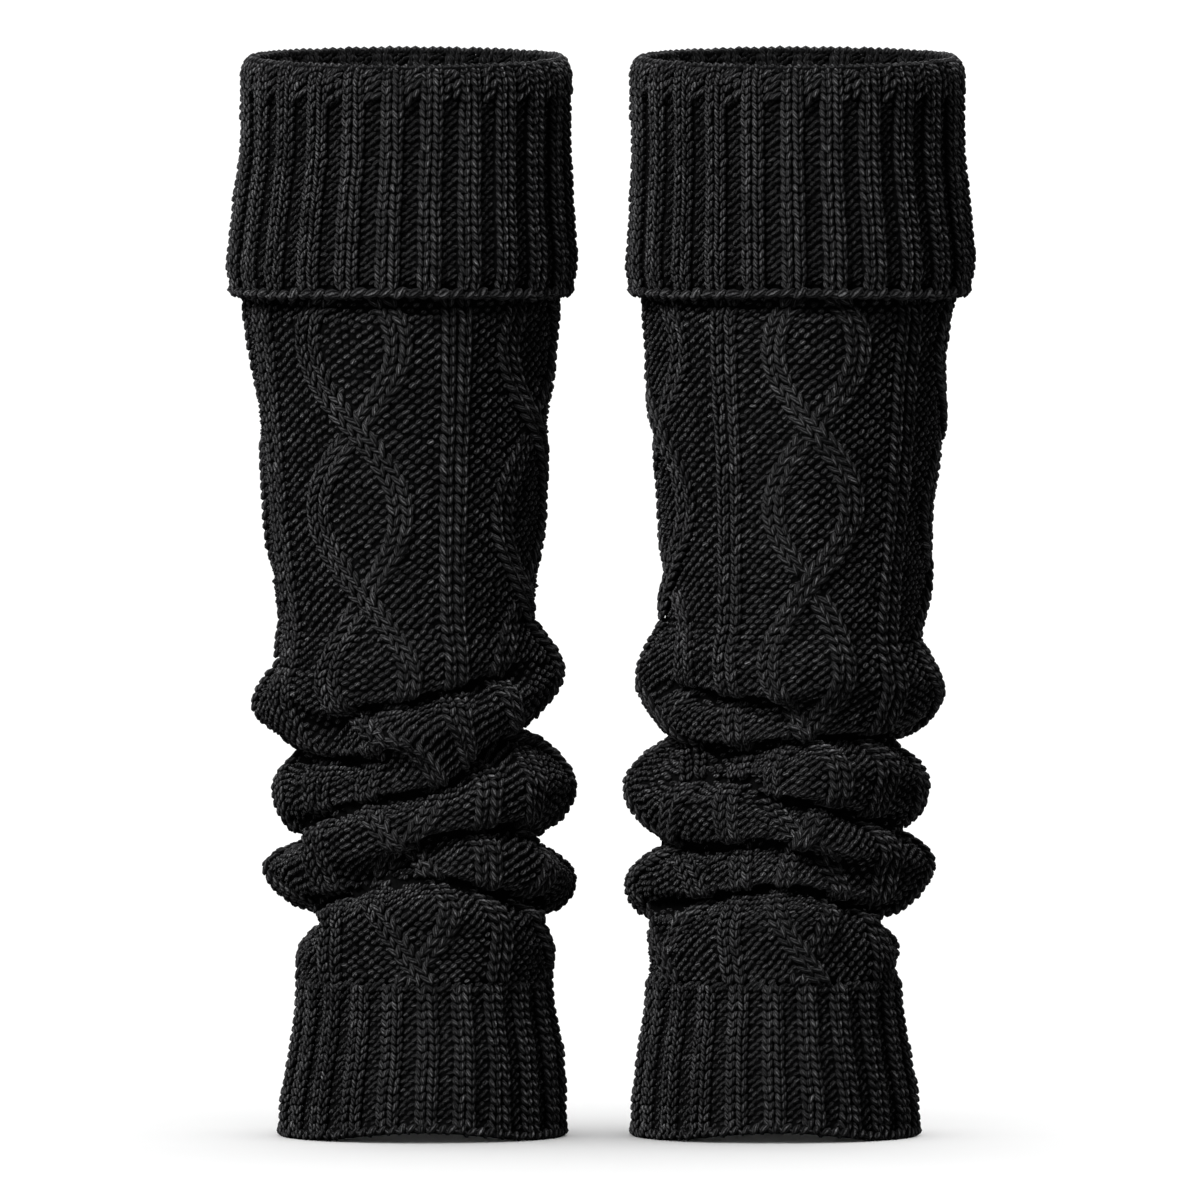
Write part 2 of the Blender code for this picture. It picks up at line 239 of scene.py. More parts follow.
PLAIN_GRAIN, PURL_GRAIN, BEAD_GRAIN = (4, 4), (4, 3), (6, 5)  # sides round and along
RIB_DEPTH = 1.55 * MM  # how far under the skin stitches lie: in the body's ribs,
CABLE_DEPTH = 1.35 * MM  # in its cables,
PURL_DEPTH = 2.55 * MM  # in its purl ground,
LEAF_DEPTH = 1.4 * MM  # on the ribs of the ribbing
VALLEY_DEPTH = 1.6 * MM  # and at least this far in its valleys
BODY_ROW = 3.72 * MM
BODY_TUCK = 0.75 * MM  # how far each leaf dips under the next one up
LEAF_PLACE = 0.23  # from the middle of a stitch to each leaf, in stitches
STRAND_RISE = 0.9 * MM  # how far a strand rises or sinks where two cross
HIDES_WITHIN = 1.1  # a lower strand is left out nearer than this, in strands
RIB_CLEAR = 1.12  # purl bumps keep this far from a rib, in its stitches
STRAND_CLEAR = 0.86  # and this far from a strand
PURL_JITTER = 1.8
# painted shade on the stitches down the inside of the cuff
INSIDE_SHADE = 0.2
LEAN_VARIES = 5.0  # degrees
SIZE_VARIES = 0.06
PLACE_VARIES = 0.12 * MM
STRETCH_LIMITS = (0.6, 1.5)
SEWING = 0.001 * MM  # points closer than this are one

CLOTH_THICK = 0.6 * MM  # the plain cloth under the stitches
GROUND_DEPTH = 3.0 * MM  # how far under the skin it lies in the body
RIB_UNDER = 0.5 * MM  # and how much higher under a rib or cable
OVER_UNDER = 0.8 * MM  # and higher again where one strand crosses another

# ---- Shader sockets and studio ----

MIX_SHARE, MIX_FIRST, MIX_SECOND, MIX_RESULT = 0, 6, 7, 2  # a mix node's colour sockets
KEY_PLACE = (-1.05, -1.6, 2.0)
BACK_PLACE = (0.0, 2.6, 1.3)
FRAME_WIDTH = 0.45  # what the camera takes in at the legs
LOOK_HEIGHT = 0.2011


def smooth_step(value):
    """Ease from 0 to 1."""
    value = np.clip(value, 0.0, 1.0)
    return value * value * (3.0 - 2.0 * value)


# ---- Reading the frame ----

def outward(turns):
    """Level directions out of a leg."""
    angle = np.radians(turns)
    return np.stack((np.sin(angle), -np.cos(angle), np.zeros_like(angle)), axis=-1)


def all_turns():
    return np.arange(TURNS) * (360.0 / TURNS)


def soften(values, reach):
    """Even a reading out up and down, with a soft weight that spans reach readings."""
    span = np.arange(-3 * reach, 3 * reach + 1)
    weight = np.exp(-0.5 * (span / reach) ** 2)
    weight /= weight.sum()
    padded = np.pad(values, [(3 * reach, 3 * reach)] + [(0, 0)] * (values.ndim - 1), mode="edge")
    return sum(weight[i] * padded[i:i + len(values)] for i in range(len(span)))


def round_off(values):
    """Smooth a reading round the leg, so that the frame's flat sides don't show."""
    waves = np.fft.rfft(values, axis=-1)
    waves *= np.exp(-(np.arange(waves.shape[-1]) / WAVES) ** 4)
    return np.fft.irfft(waves, n=values.shape[-1], axis=-1)


class Tube:
    """The skin of one tube of the frame: its middle and its reach in every direction."""

    def __init__(self, node):
        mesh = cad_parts[node].data
        corners = [vert.co for vert in mesh.vertices]
        sides = [list(face.vertices) for face in mesh.polygons]
        self.tree = BVHTree.FromPolygons(corners, sides)
        self.low, self.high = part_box(node)
        self.clear = self.high.x - self.low.x

    def probe(self, start, heading):
        """Distance from start to the tube along heading, or nan where it is missed."""
        hit = self.tree.ray_cast(Vector(start), Vector(heading))
        return float("nan") if hit[0] is None else hit[3]

    def middle(self, height):
        """Where the tube's middle is at one height, from its two sides."""
        left = self.low.x - self.clear
        right = self.high.x + self.clear
        from_left = left + self.probe((left, 0.0, height), (1.0, 0.0, 0.0))
        from_right = right - self.probe((right, 0.0, height), (-1.0, 0.0, 0.0))
        return 0.5 * (from_left + from_right)

    def read(self, low, high):
        """Heights, middles and outer radii of the tube between two heights."""
        heights = np.linspace(low, high, 2 + int((high - low) / READING_STEP))
        middles = np.array([self.middle(height) for height in heights])
        radii = np.empty((len(heights), TURNS))
        ways = outward(all_turns())
        for row, (height, middle) in enumerate(zip(heights, middles)):
            centre = np.array((middle, 0.0, height))
            for column, way in enumerate(ways):
                radii[row, column] = self.clear - self.probe(centre + way * self.clear, -way)
        for row in radii:
            missed = np.isnan(row)
            row[missed] = np.interp(np.flatnonzero(missed), np.flatnonzero(~missed), row[~missed])
        return heights, soften(middles, 2), round_off(soften(radii, 1))

    def edge(self, middle, radii, start, heading):
        """Height of the tube's upper or lower edge in every direction."""
        found = []
        for way, radius in zip(outward(all_turns()), radii):
            place = np.array((middle, 0.0, 0.0)) + way * radius
            gap = self.probe((place[0], place[1], start), (0.0, 0.0, heading))
            found.append(start + heading * gap)
        return round_off(np.array(found))


def read_between(heights, values, wanted):
    """Values at the wanted heights, for each direction; wanted may differ by direction."""
    place = np.clip((wanted - heights[0]) / (heights[1] - heights[0]), 0, len(heights) - 1.001)
    index = place.astype(int)
    part = place - index
    if values.ndim == 1:
        return values[index] * (1 - part) + values[index + 1] * part
    column = np.arange(values.shape[1])[None, :]
    return values[index, column] * (1 - part) + values[index + 1, column] * part


# ---- Cloth: a smooth surface in turns and rows ----

class Cloth:
    """A knitted tube as a surface: a place, a facing and the run of its rows anywhere."""

    def __init__(self, path, marks, rows):
        """path[step, turn] runs up the cloth; between two marks lie that many rows."""
        stretches = []
        for start, end, count in zip(marks, marks[1:], rows):
            part = path[start:end + 1]
            steps = np.linalg.norm(np.diff(part, axis=0), axis=2)
            length = np.concatenate((np.zeros((1, part.shape[1])), np.cumsum(steps, axis=0)))
            share = np.linspace(0.0, 1.0, count * FINE + 1)
            even = np.empty((len(share), part.shape[1], 3))
            for column in range(part.shape[1]):
                wanted = share * length[-1, column]
                for axis in range(3):
                    even[:, column, axis] = np.interp(wanted, length[:, column],
                                                      part[:, column, axis])
            stretches.append(even if not stretches else even[1:])
        self.places = np.concatenate(stretches)
        self.rows = sum(rows)
        round_way = 0.5 * (np.roll(self.places, -1, axis=1) - np.roll(self.places, 1, axis=1))
        self.per_turn = round_way * (TURNS / 360.0)
        self.per_row = np.gradient(self.places, axis=0) * FINE
        facing = np.cross(self.per_turn, self.per_row)
        self.facing = facing / np.linalg.norm(facing, axis=2, keepdims=True)

    def read(self, field, turn, row):
        """One of the cloth's fields at any turn and row."""
        turn, row = np.broadcast_arrays(np.asarray(turn, float), np.asarray(row, float))
        column = np.mod(turn, 360.0) / 360.0 * TURNS
        step = np.clip(row * FINE, 0.0, len(field) - 1.001)
        left = column.astype(int) % TURNS
        right = (left + 1) % TURNS
        below = step.astype(int)
        across = (column - np.floor(column))[..., None]
        up = (step - below)[..., None]
        low = field[below, left] * (1 - across) + field[below, right] * across
        high = field[below + 1, left] * (1 - across) + field[below + 1, right] * across
        return low * (1 - up) + high * up

    def length(self):
        """Mean length of the cloth along its wales."""
        steps = np.linalg.norm(np.diff(self.places, axis=0), axis=2)
        return float(steps.sum(axis=0).mean())

    def girth(self):
        """Mean length of the cloth round its rows."""
        steps = np.linalg.norm(np.roll(self.places, -1, axis=1) - self.places, axis=2)
        return float(steps.sum(axis=1).mean())


def skin(reach, middle, level):
    """Places this far out from the middle, at these heights."""
    places = outward(all_turns())[None, :, :] * reach[:, :, None]
    places[:, :, 0] += middle[:, None]
    places[:, :, 2] += level
    return places


def unevenness(seed, heights):
    """A slow, soft waviness of hand knitting, the same on every run."""
    dice = np.random.default_rng(seed)
    turns = np.radians(all_turns())[None, :]
    wave = np.zeros((len(heights), TURNS))
    for _ in range(14):
        around = dice.integers(1, 8)
        upward = dice.uniform(10.0, 90.0)
        start = dice.uniform(0.0, 2 * math.pi, 2)
        wave += np.sin(around * turns + start[0]) * np.sin(upward * heights[:, None] + start[1])
    return wave / 3.0


def crease_line(knots):
    """A crease's height and depth in every direction, fading to nothing at open ends."""
    turns, heights, depths = np.array(knots, float).T
    if depths[0] > 0.0:
        turns = np.append(turns, turns[0] + 360.0)
        heights = np.append(heights, heights[0])
        depths = np.append(depths, depths[0])
    here = turns[0] + np.mod(all_turns() - turns[0], 360.0)
    height = np.interp(here, turns, heights)
    depth = np.interp(here, turns, depths, right=0.0)
    return round_off(height) * MM, np.maximum(round_off(depth), 0.0)


def fold_side(side, way, path):
    """The side of the folds at each height: full and round between sharp hollows."""
    heights, places = np.array(side).T * MM
    heights = heights + SIDE_RISE
    index = np.clip(np.searchsorted(heights, path, side="right") - 1, 0, len(side) - 2)
    share = np.clip((path - heights[index]) / (heights[index + 1] - heights[index]), 0.0, 1.0)
    below, above = places[index], places[index + 1]
    growing = way * above > way * below
    ease = np.where(growing, np.sin(0.5 * math.pi * share), 1.0 - np.cos(0.5 * math.pi * share))
    return below + (above - below) * ease


def reach_sides(leg, path, middle, reach):
    """Let the folds out or in, so that they reach as far to each side as they should."""
    turns = all_turns()
    low, high = leg.sides[0][0].height * MM, leg.sides[0][-1].height * MM
    blend = smooth_step((path - low) / (14.0 * MM)) * smooth_step((high - path) / (20.0 * MM))
    beside = np.zeros(TURNS)
    for way, side in zip((-1.0, 1.0), leg.sides):
        away = np.abs(np.mod(turns - 90.0 * way + 180.0, 360.0) - 180.0)
        weight = smooth_step(1.0 - away / SIDE_SPREAD)
        across = way * reach * np.sin(np.radians(turns))[None, :]
        furthest = across.max(axis=1)
        wanted = way * (fold_side(side, way, path) - middle) + SIDE_PROUD
        reach = reach + (blend * (wanted - furthest))[:, None] * weight[None, :]
        beside += weight
    return reach, beside[None, :]


def body_cloth(leg):
    """The body's skin, with its creases drawn in and the folds sagging over them."""
    tube = Tube(leg.name + "_body")
    low, high = tube.low.z, tube.high.z
    margin = 0.2 * MM
    heights, middles, radii = tube.read(low + margin, high - margin)
    path = np.linspace(low, high, 1 + int((high - low) / PATH_STEP))
    level = path[:, None] + np.zeros((1, TURNS))
    middle = read_between(heights, middles, path)
    reach = read_between(heights, radii, level)
    reach += UNEVEN * unevenness(SEED + len(leg.name), path)
    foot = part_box(leg.name + "_cuff")[0].z
    facing_front = np.abs(np.cos(np.radians(all_turns())))[None, :]
    reach -= TUCKED_IN * facing_front * smooth_step((level - foot + TUCK_REACH) / TUCK_REACH)
    sag = np.zeros_like(level)
    for knots in leg.creases:
        crease, depth = crease_line(knots)
        above = level - crease
        reach -= PINCH * depth * np.exp(-(above / PINCH_REACH) ** 2)
        sag += DROOP * depth * np.exp(-((above - DROOP_ABOVE) / DROOP_REACH) ** 2)
    reach, beside = reach_sides(leg, path, middle, reach)
    sag *= 1.0 - (1.0 - SIDE_DROOP) * beside
    fold_top = int(np.searchsorted(path, FOLDS_TOP))
    return Cloth(skin(reach, middle, level - sag), (0, fold_top, len(path) - 1),
                 (FOLD_ROWS, PLAIN_ROWS))


def cuff_cloth(leg):
    """The cuff's skin: up the outside, over the fold and down the inside."""
    tube = Tube(leg.name + "_cuff")
    margin = 2.0 * MM
    heights, middles, radii = tube.read(tube.low.z + margin, tube.high.z - CROWN_ROOM)
    ways = outward(all_turns())
    top = heights[-1]
    inner = np.array([tube.probe((middles[-1], 0.0, top), way) for way in ways])
    wall = round_off(radii[-1] - inner)
    crown = tube.edge(middles[-1], radii[-1] - 0.5 * wall, tube.high.z + CROWN_ROOM, -1.0)
    foot = tube.edge(middles[0], radii[0] - margin, tube.low.z - CROWN_ROOM, 1.0)
    shoulder = crown - 0.93 * wall
    share = np.linspace(0.0, 1.0, 1 + int((top - tube.low.z) / PATH_STEP))[:, None]
    level = foot + (shoulder - foot) * share
    reach = read_between(heights, radii, level)
    reach += UNEVEN * unevenness(SEED + 5 * len(leg.name), level.mean(axis=1))
    middle = read_between(heights, middles, level.mean(axis=1))
    lean = np.radians(np.linspace(0.0, 180.0, CROWN_STEPS))[1:-1, None]
    crown_reach = reach[-1] - 0.5 * wall * (1.0 - np.cos(lean))
    crown_level = shoulder + (crown - shoulder) * np.sin(lean)
    down = level[::-1]
    inside = down[:, 0] > CUFF_INSIDE_FOOT
    reach_all = np.concatenate((reach, crown_reach, reach[::-1][inside] - wall))
    level_all = np.concatenate((level, crown_level, down[inside]))
    middle_all = np.concatenate((middle, np.full(len(lean), middle[-1]), middle[::-1][inside]))
    places = skin(reach_all, middle_all, level_all)
    outside = len(level) - 1
    over = outside + len(lean) + 1
    lengths = [np.linalg.norm(np.diff(places[a:b + 1], axis=0), axis=2).sum(axis=0).mean()
               for a, b in ((0, outside), (outside, over), (over, len(places) - 1))]
    rows = [max(1, round(length / CUFF_RIBBING.row)) for length in lengths]
    cloth = Cloth(places, (0, outside, over, len(places) - 1), rows)
    cloth.outside_rows, cloth.crown_rows = rows[0], rows[1]
    return cloth


def hem_cloth(leg):
    """The hem's skin, from its lower edge up to the seam."""
    tube = Tube(leg.name + "_hem")
    margin = 7.0 * MM
    heights, middles, radii = tube.read(tube.low.z + margin, tube.high.z - 0.2 * MM)
    inset = 2.2 * MM
    foot = ARCH_SHARE * tube.edge(middles[0], radii[0] - inset, tube.low.z - margin, 1.0)
    share = np.linspace(0.0, 1.0, 1 + int((tube.high.z - tube.low.z) / PATH_STEP))[:, None]
    level = foot + (tube.high.z - foot) * share
    reach = read_between(heights, radii, level)
    reach += 0.6 * UNEVEN * unevenness(SEED + 9 * len(leg.name), level.mean(axis=1))
    middle = read_between(heights, middles, level.mean(axis=1))
    rows = round((tube.high.z - tube.low.z) / HEM_RIBBING.row)
    return Cloth(skin(reach, middle, level), (0, len(level) - 1), (rows,))


# ---- Stitches: one short grain of yarn, repeated ----

Grain = namedtuple("Grain", "corners sides along around")


def yarn_grain(round_steps, long_steps):
    """One short grain of yarn lying along X, from a ball with few sides."""
    form = bmesh.new()
    bmesh.ops.create_uvsphere(form, u_segments=round_steps, v_segments=long_steps, radius=1.0)
    bmesh.ops.triangulate(form, faces=form.faces)
    form.verts.index_update()
    balls = np.array([vert.co for vert in form.verts])
    corners = balls[:, (2, 0, 1)]
    sides = np.array([[vert.index for vert in face.verts] for face in form.faces])
    form.free()
    around = np.arctan2(corners[:, 1], corners[:, 2]) / (2 * math.pi) + 0.5
    along = 0.5 + 0.5 * corners[:, 0]
    side_around = around[sides]
    pole = np.abs(corners[sides][:, :, 0]) > 0.999
    for values, at_pole in zip(side_around, pole):
        rest = values[~at_pole]
        if rest.max() - rest.min() > 0.5:
            values[values < 0.5] += 1.0
            rest = values[~at_pole]
        values[at_pole] = rest.mean()
    return Grain(corners, sides, along[sides], side_around)


def add_piece(name, mesh, material):
    """Put a finished mesh into the scene as a piece that rides on the root."""
    mesh.shade_smooth()
    mesh.materials.append(material)
    thing = bpy.data.objects.new(name, mesh)
    bpy.context.collection.objects.link(thing)
    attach(thing, "root")
    return thing


class Stitches:
    """Rows of grains gathered for one piece."""

    def __init__(self, cloth, grain, seed):
        self.cloth = cloth
        self.grain = grain
        self.dice = np.random.default_rng(seed)
        self.batches = []
        self.shades = []

    def lay(self, turn, row, size, lift, lean=0.0, drift=0.0, tuck=0.0, row_size=None,
            jitter=1.0, shade=1.0):
        """Lay grains at these turns and rows.

        lean is their angle from the wale, in degrees to the right; drift is how many
        degrees of turn the wale itself moves in one row; tuck sinks the upper end; shade is
        painted shade: it dims the yarn's painted highlights on deep and hidden stitches.
        """
        given = np.broadcast_arrays(turn, row, lean, drift, lift, shade)
        turn, row, lean, drift, lift, shade = (item.ravel() for item in given)
        count = turn.size
        cloth = self.cloth
        place = cloth.read(cloth.places, turn, row)
        facing = cloth.read(cloth.facing, turn, row)
        facing /= np.linalg.norm(facing, axis=1, keepdims=True)
        run = cloth.read(cloth.per_turn, turn, row) * drift[:, None]
        run += cloth.read(cloth.per_row, turn, row)
        stretch = np.linalg.norm(run, axis=1) / row_size if row_size else np.ones(count)
        run -= facing * np.sum(run * facing, axis=1, keepdims=True)
        run /= np.linalg.norm(run, axis=1, keepdims=True)
        across = np.cross(run, facing)
        angle = np.radians(lean + jitter * LEAN_VARIES * self.dice.standard_normal(count))
        axis = run * np.cos(angle)[:, None] + across * np.sin(angle)[:, None]
        side = np.cross(axis, facing)
        varied = 1.0 + jitter * SIZE_VARIES * self.dice.standard_normal((count, 3))
        shift = jitter * PLACE_VARIES * self.dice.standard_normal((count, 3))
        reach = size.length * np.clip(stretch, *STRETCH_LIMITS)
        half_axes = np.stack((axis * (reach * varied[:, 0])[:, None] - facing * tuck,
                              side * (size.width * varied[:, 1])[:, None],
                              facing * (size.thick * varied[:, 2])[:, None]), axis=1)
        place = place + facing * lift[:, None] + shift
        self.batches.append(place[:, None, :] + self.grain.corners @ half_axes)
        # painted glints: each stitch's painted highlight made brighter or dimmer at random
        self.shades.append(shade * np.exp(GLINT_SPREAD * self.dice.standard_normal(count)))

    def piece(self, name, material):
        """Join every grain laid so far into one named mesh."""
        corners = np.concatenate(self.batches)
        count, each = corners.shape[:2]
        sides = self.grain.sides[None] + (np.arange(count) * each)[:, None, None]
        mesh = bpy.data.meshes.new(name)
        mesh.from_pydata(corners.reshape(-1, 3), [], sides.reshape(-1, 3))
        shades = np.concatenate(self.shades)
        # tone: a random tone of the dye; shade: painted shade and painted glints; crown: 1 on a
        # grain's outer side, which gets the painted highlight, and 0 underneath, in painted shade
        for title, values in (("tone", np.repeat(self.dice.random(count), each)),
                              ("shade", np.repeat(shades, each)),
                              ("crown", np.tile(0.5 + 0.5 * self.grain.corners[:, 2], count))):
            layer = mesh.attributes.new(title, "FLOAT", "POINT")
            layer.data.foreach_set("value", values)
        along = np.broadcast_to(self.grain.along[None], sides.shape)
        around = np.broadcast_to(self.grain.around[None], sides.shape)
        cells = math.ceil(math.sqrt(count))
        number = np.arange(count)[:, None, None]
        bake_u = (number % cells + 0.1 + 0.8 * along) / cells
        bake_v = (number // cells + 0.1 + 0.6 * around) / cells
        for title, u, v in (("Stitch", along, around), ("OFBake", bake_u, bake_v)):
            layer = mesh.uv_layers.new(name=title)
            layer.data.foreach_set("uv", np.stack((u, v), axis=-1).ravel())
        return add_piece(name, mesh, material)


def plain_cloth(name, cloth, material, turns, rows, inset):
    """The thin cloth under the stitches: one closed wall, rolled and sewn from a grid."""
    turn, row = np.meshgrid(np.arange(turns) * (360.0 / turns), rows)
    place = cloth.read(cloth.places, turn, row)
    facing = cloth.read(cloth.facing, turn, row)
    depth = inset(turn, row)[..., None]
    lining = place - facing * (depth + CLOTH_THICK)
    rings = np.concatenate((place - facing * depth, lining[::-1]))
    form = bmesh.new()
    sheet = bmesh.ops.create_grid(form, x_segments=turns, y_segments=len(rings), size=1.0)
    for vert in sheet["verts"]:
        column = round(0.5 * (vert.co.x + 1.0) * turns)
        ring = round(0.5 * (vert.co.y + 1.0) * len(rings))
        vert.co = rings[ring % len(rings), column % turns]
    bmesh.ops.remove_doubles(form, verts=form.verts, dist=SEWING)
    bmesh.ops.recalc_face_normals(form, faces=form.faces)
    mesh = bpy.data.meshes.new(name)
    form.to_mesh(mesh)
    form.free()
    return add_piece(name, mesh, material)


# ---- Yarn ----

def feed(tree, node, inputs):
    """Give a node's inputs their values, each a constant or another node's socket."""
    for name, value in inputs.items():
        if isinstance(value, bpy.types.NodeSocket):
            tree.links.new(value, node.inputs[name])
        else:
            node.inputs[name].default_value = value


def add_node(tree, kind, inputs, **settings):
    node = tree.nodes.new(kind)
    for name, value in settings.items():
        setattr(node, name, value)
    feed(tree, node, inputs)
    return node


def maths(tree, operation, *values):
    node = add_node(tree, "ShaderNodeMath", dict(enumerate(values)), operation=operation)
    return node.outputs[0]


def noise(tree, place, scale, detail):
    inputs = {"Vector": place, "Scale": scale, "Detail": detail, "Roughness": 0.6}
    return add_node(tree, "ShaderNodeTexNoise", inputs).outputs["Fac"]


def attribute(tree, name):
    return add_node(tree, "ShaderNodeAttribute", {}, attribute_name=name).outputs["Fac"]


def object_place(tree):
    return tree.nodes.new("ShaderNodeTexCoord").outputs["Object"]


def mix_colours(tree, share, first, second):
    node = add_node(tree, "ShaderNodeMix", {}, data_type="RGBA")
    feed(tree, node, {MIX_SHARE: share, MIX_FIRST: first, MIX_SECOND: second})
    return node.outputs[MIX_RESULT]


def plied_yarn_group():
    """Twisted plies, loose fibres and mottled dye, for every yarn material; its colour holds
    painted light: painted highlights on the ply crowns, stray fibres and each grain's outer side,
    and painted shade beneath.
    """
    group = bpy.data.node_groups.new("Plied Yarn", "ShaderNodeTree")
    for name, way, kind in (
            ("Dark", "INPUT", "Color"), ("Light", "INPUT", "Color"), ("Plies", "INPUT", "Float"),
            ("Twist", "INPUT", "Float"), ("Color", "OUTPUT", "Color"),
            ("Height", "OUTPUT", "Float")):
        group.interface.new_socket(name=name, in_out=way, socket_type="NodeSocket" + kind)
    given = group.nodes.new("NodeGroupInput").outputs
    result = group.nodes.new("NodeGroupOutput")
    stitch = add_node(group, "ShaderNodeUVMap", {}, uv_map="Stitch")
    split = add_node(group, "ShaderNodeSeparateXYZ", {0: stitch.outputs["UV"]}).outputs
    place = object_place(group)
    turned = maths(group, "MULTIPLY", split["Y"], given["Plies"])
    twisted = maths(group, "MULTIPLY", split["X"], given["Twist"])
    wander = maths(group, "MULTIPLY", noise(group, place, 420.0, 2.0), 0.9)
    phase = maths(group, "ADD", maths(group, "ADD", turned, twisted), wander)
    wave = maths(group, "SINE", maths(group, "MULTIPLY", phase, math.pi))
    ply = maths(group, "ABSOLUTE", wave)
    fibre = noise(group, place, 2600.0, 3.0)
    mottle = noise(group, place, 55.0, 3.0)
    # painted highlights: the crowns of the plies and scattered fibres are lit in the colour
    # itself
    glint = maths(group, "MULTIPLY", maths(group, "SUBTRACT", fibre, 0.33), 2.6)
    lit = maths(group, "MULTIPLY", maths(group, "POWER", ply, 2.6), glint)
    tone = maths(group, "MULTIPLY", attribute(group, "tone"), 0.5)
    # the painted highlights are varied by the random tone and the mottled dye, which are the
    # yarn's own
    share = maths(group, "MULTIPLY", lit, maths(group, "ADD", tone, mottle))
    # painted highlight on each grain's outer side, painted shade on its sides and underneath
    inputs = {"Value": attribute(group, "crown"), "From Min": 0.45, "From Max": 1.0}
    crown = add_node(group, "ShaderNodeMapRange", inputs, interpolation_type="SMOOTHSTEP")
    share = maths(group, "MULTIPLY", share, crown.outputs["Result"])
    # painted shade on deep and hidden stitches, and painted glints brighter or dimmer from stitch
    # to stitch
    share = maths(group, "MULTIPLY", share, attribute(group, "shade"))
    # Dark is the yarn's own colour, Light the colour of its painted highlights
    colour = mix_colours(group, share, given["Dark"], given["Light"])
    height = maths(group, "ADD", ply, maths(group, "MULTIPLY", fibre, 0.8))
    feed(group, result, {"Color": colour, "Height": height})
    return group


def opaque(colour, share=1.0):
    """A colour of the settings, dimmed, for a shader's socket."""
    return tuple(part * share for part in colour) + (1.0,)


def new_material(name):
    """A material with its nodes, and its shader to be fed."""
    material = bpy.data.materials.new(name)
    material.use_nodes = True
    tree = material.node_tree
    return material, tree, tree.nodes["Principled BSDF"]


def yarn_material(name, look, painted_light):
    """Dull twisted wool: the shared group for colour and height, wool's own sheen; painted_light
    scales both colours, making lit and shaded copies of one yarn.
    """
    group = bpy.data.node_groups.get("Plied Yarn") or plied_yarn_group()
    material, tree, shader = new_material(name)
    yarn = add_node(tree, "ShaderNodeGroup", {
        "Dark": opaque(look.dark, painted_light), "Light": opaque(look.light, painted_light),
        "Plies": 5.0, "Twist": 1.6}, node_tree=group)
    bump = add_node(tree, "ShaderNodeBump", {
        "Height": yarn.outputs["Height"], "Strength": 0.6, "Distance": 0.35 * MM})
    feed(tree, shader, {
        "Base Color": yarn.outputs["Color"], "Normal": bump.outputs["Normal"],
        "Roughness": look.roughness, "Specular IOR Level": 0.0, "Sheen Weight": look.sheen,
        "Sheen Roughness": 0.45, "Sheen Tint": opaque(look.sheen_colour)})
    return material


def painted_shade_backing(name, look):
    """The near-black cloth under the stitches: painted shade in the depth between them, with the
    yarn's fibres but none of its painted highlights.
    """
    material, tree, shader = new_material(name)
    fibre = noise(tree, object_place(tree), 900.0, 4.0)
    # near black: painted shade where the stitches part
    colour = mix_colours(tree, fibre, opaque(look.dark, 0.2), opaque(look.light, 0.025))
    bump = add_node(tree, "ShaderNodeBump", {
        "Height": fibre, "Strength": 0.5, "Distance": 0.5 * MM})
    feed(tree, shader, {"Base Color": colour, "Normal": bump.outputs["Normal"],
                        "Roughness": 0.95, "Specular IOR Level": 0.0})
    return material


# ---- Knitting patterns ----

def columns_of(leg):
    """The wale and the turn of each column, and of the first one again a lap further on."""
    wales = [column.wale for column in leg.columns] + [WALES]
    turns = [column.turn for column in leg.columns]
    return np.array(wales, float), np.array(turns + [turns[0] + 360.0])


def twist_at(leg, row):
    """How far the folded part is twisted at a row, in degrees."""
    return leg.twist * (1.0 - smooth_step(np.asarray(row, float) / FOLD_ROWS))


def wale_turn(leg, wale, row):
    """The turn at which a stitch of the body lies."""
    wales, turns = columns_of(leg)
    laps, part = np.divmod(np.asarray(wale, float), WALES)
    return np.interp(part, wales, turns) + 360.0 * laps + twist_at(leg, row)


def wale_at(leg, turn, row):
    """The stitch of the body that lies at a turn: the other way round from wale_turn."""
    wales, turns = columns_of(leg)
    straight = turns[0] + np.mod(turn - twist_at(leg, row) - turns[0], 360.0)
    return np.interp(straight, turns, wales)


def apart(first, second):
    """How far apart two stitches of a round are, the short way."""
    return np.abs(np.mod(first - second + WALES / 2, WALES) - WALES / 2)


def swing(leg, row):
    """How far the first strand is from its cable's middle, and the crossings passed."""
    rows = [crossing.row for crossing in leg.crossings]
    phase = np.interp(row, rows, range(len(rows)))
    return CABLE_SWING * np.sin(math.pi * phase), phase


def crossing_share(leg, row):
    """1 where the strands of a cable cross and 0 well away from there."""
    phase = swing(leg, row)[1]
    return smooth_step(1.0 - np.abs(phase - np.round(phase)) / 0.3)


def strand_state(leg, strand, row):
    """Whether a cable's strand is the upper one at the nearest crossing, and whether it shows."""
    offset, phase = swing(leg, row)
    nearest = np.clip(np.round(phase).astype(int), 0, len(leg.crossings) - 1)
    over = np.array([crossing.over for crossing in leg.crossings])[nearest]
    rising = np.where(nearest % 2 == 0, 1, -1)
    on_top = rising * strand == over
    return on_top, on_top | (2.0 * np.abs(offset) > HIDES_WITHIN * STRAND_WALE)


def raised(leg, turn, row):
    """1 under the ribs and cables of the body and 0 under its purl ground."""
    wale = wale_at(leg, turn, row)
    reach = swing(leg, row)[0]
    share = np.zeros(np.shape(wale))
    for column in leg.columns:
        for side in ((-1.0, 1.0) if column.kind == "cable" else (0.0,)):
            away = apart(wale, column.wale + side * reach)
            share = np.maximum(share, 1.0 - smooth_step((away - 0.75) / 0.6))
    return share


def lay_leaves(stitches, leg, wale, row, wale_width, size, lift, drift=0.0):
    """The two leaves of plain stitches, open at the top, side by side on their wale."""
    for way in (-1.0, 1.0):
        turn = wale_turn(leg, wale + way * LEAF_PLACE * wale_width, row)
        stitches.lay(turn, row, size, lift, lean=way * LEAF_TILT, drift=drift,
                     tuck=BODY_TUCK, row_size=BODY_ROW)


